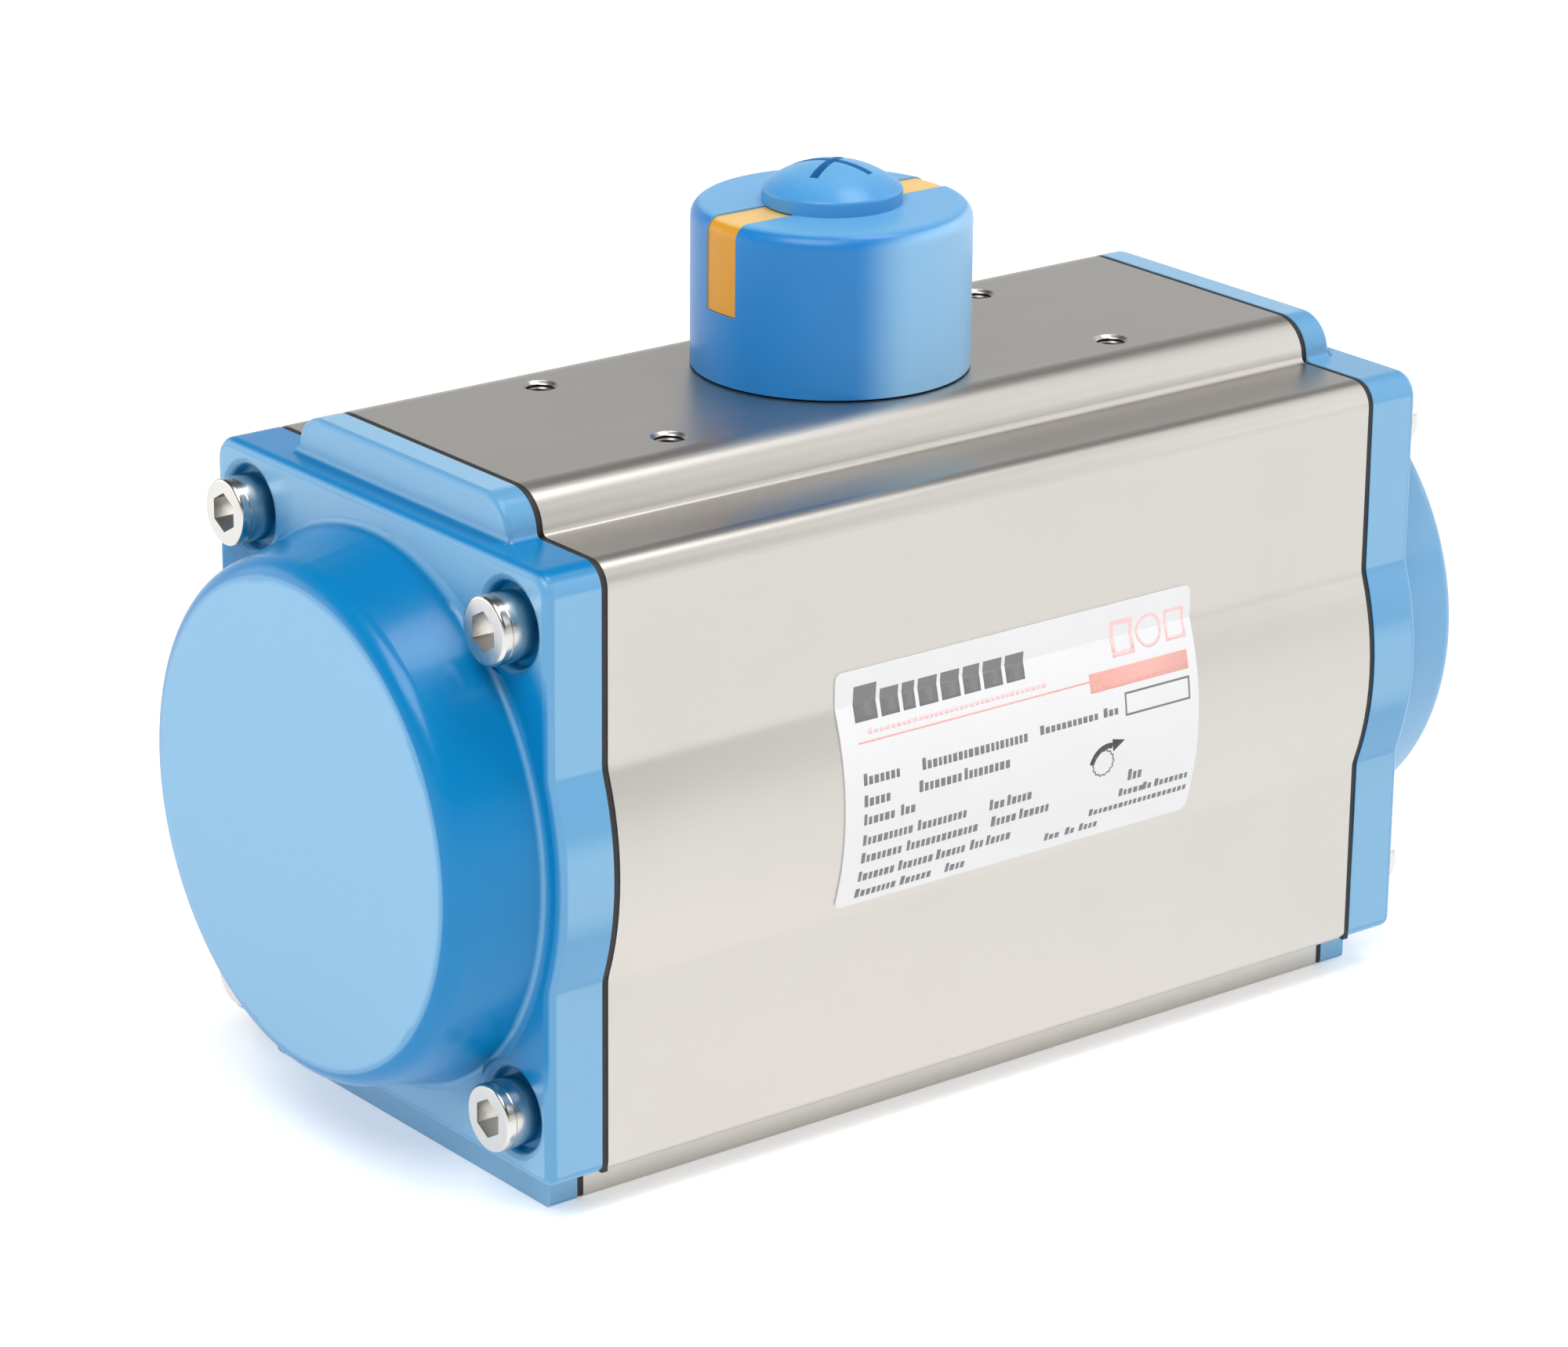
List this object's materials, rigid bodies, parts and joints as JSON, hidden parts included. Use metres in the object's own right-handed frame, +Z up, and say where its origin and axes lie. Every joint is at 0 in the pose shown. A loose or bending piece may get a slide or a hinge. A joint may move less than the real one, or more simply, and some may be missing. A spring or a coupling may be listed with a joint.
{
  "type": "rotary pneumatic actuator",
  "caption": "Double-acting rack-and-pinion quarter-turn pneumatic actuator with an aluminium housing, coated end caps and a top position indicator.",
  "frame": {"origin": "centre of the bottom mounting face, on the output shaft's axis", "axes": "+X along the cylinder bore, +Y towards the valve pad with the air ports, +Z up through the position indicator"},
  "size_m": [0.184, 0.0945, 0.1286],
  "materials": {
    "anodised_aluminium": "satin anodised extrusion",
    "cast_aluminium": "cast and machined",
    "blue_coating": "smooth powder coat on cast aluminium",
    "stainless_steel": "turned stainless steel",
    "plated_steel": "nickel-plated steel",
    "blue_plastic": "moulded, fine matte",
    "yellow_plastic": "moulded, satin",
    "bearing_plastic": "moulded bearing plastic",
    "black_rubber": "moulded nitrile rubber",
    "label_film": "printed polyester film"
  },
  "bodies": {
    "housing": {"actuator_body": "anodised_aluminium", "left_gasket": "black_rubber", "right_gasket": "black_rubber", "left_end_cap": "blue_coating", "right_end_cap": "blue_coating", "end_cap_screws": "stainless_steel", "channel_plug": "stainless_steel", "name_label": "label_film", "stop_lock_nuts": "stainless_steel", "stop_washers": "stainless_steel", "stop_seal_rings": "black_rubber", "inner_thrust_ring": "bearing_plastic", "outer_thrust_washer": "bearing_plastic"},
    "pinion": {"drive_pinion": "plated_steel", "stop_cam": "plated_steel", "indicator_cap": "blue_plastic", "indicator_stripe": "yellow_plastic", "indicator_screw": "blue_plastic", "lower_seal_ring": "black_rubber", "lower_bearing_ring": "bearing_plastic", "upper_seal_ring": "black_rubber", "upper_bearing_ring": "bearing_plastic", "steel_washer": "stainless_steel", "snap_ring": "stainless_steel"},
    "left_piston_body": {"left_piston": "cast_aluminium", "left_piston_seal": "black_rubber", "left_guide_band": "bearing_plastic", "left_guide_shoe": "bearing_plastic"},
    "right_piston_body": {"right_piston": "cast_aluminium", "right_piston_seal": "black_rubber", "right_guide_band": "bearing_plastic", "right_guide_shoe": "bearing_plastic"},
    "left_stop": {"left_stop_screw": "stainless_steel"},
    "right_stop": {"right_stop_screw": "stainless_steel"}
  },
  "joints": [
    {"name": "pinion_turn", "type": "hinge", "parent": "housing", "child": "pinion", "pos_m": [0, 0, 0], "axis": [0, 0, 1], "range_deg": [0, 90]},
    {"name": "left_piston_slide", "type": "slide", "parent": "housing", "child": "left_piston_body", "axis": [-1, 0, 0], "range_m": [0, 0.022]},
    {"name": "right_piston_slide", "type": "slide", "parent": "housing", "child": "right_piston_body", "axis": [1, 0, 0], "range_m": [0, 0.022]},
    {"name": "left_stop_adjust", "type": "slide", "parent": "housing", "child": "left_stop", "axis": [0, 1, 0], "range_m": [0, 0.00144]},
    {"name": "right_stop_adjust", "type": "slide", "parent": "housing", "child": "right_stop", "axis": [0, 1, 0], "range_m": [0, 0.00144]}
  ],
  "couplings": [
    {"joint": "left_piston_slide", "follows": "pinion_turn", "m_per_rad": 0.014},
    {"joint": "right_piston_slide", "follows": "pinion_turn", "m_per_rad": 0.014}
  ]
}
